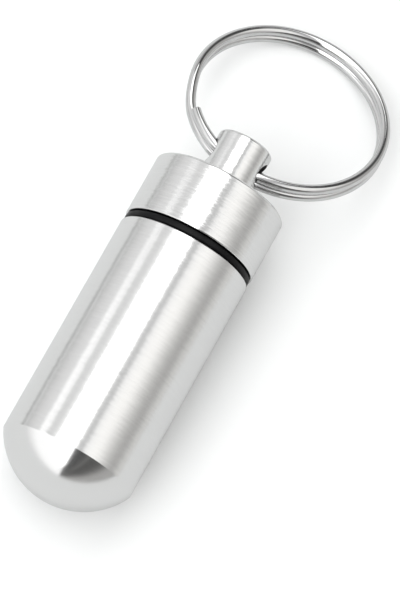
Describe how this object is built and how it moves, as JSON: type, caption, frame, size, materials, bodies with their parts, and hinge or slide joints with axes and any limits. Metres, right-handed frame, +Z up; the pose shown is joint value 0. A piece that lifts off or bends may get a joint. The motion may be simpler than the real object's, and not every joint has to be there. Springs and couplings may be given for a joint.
{
  "type": "pill fob keychain",
  "caption": "Slim turned aluminium capsule for pills with a screw-on cap, a black rubber seal and a split key ring through the cap's knob.",
  "frame": {"origin": "on the turning axis, in the plane of the container's rim, where the seal sits", "axes": "+X along the turning axis from the dome to the knob, Y along the knob's cross-hole, +Z up with the fob lying down"},
  "size_m": [0.0697, 0.0257, 0.0196],
  "materials": {
    "container": "fine-turned, with a smoother dome",
    "o_ring": "satin black",
    "cap": "fine-turned",
    "split_ring": "bright nickel plate"
  },
  "bodies": {
    "cap": {"cap": "cap"},
    "seal": {"o_ring": "o_ring"},
    "container": {"container": "container"},
    "split_ring": {"split_ring": "split_ring"}
  },
  "joints": [
    {"name": "unscrew_travel", "type": "slide", "parent": "cap", "child": "seal", "axis": [-1, 0, 0], "range_m": [0, 0.005]},
    {"name": "unscrew_turn", "type": "hinge", "parent": "seal", "child": "container", "pos_m": [0, 0, 0], "axis": [-1, 0, 0], "range_deg": [0, 1440]},
    {"name": "ring_swing", "type": "hinge", "parent": "cap", "child": "split_ring", "pos_m": [0.0128, 0, 0], "axis": [0, 1, 0], "range_deg": [-150, 97]}
  ],
  "couplings": [
    {"joint": "unscrew_turn", "follows": "unscrew_travel", "rad_per_m": 5026.5}
  ]
}
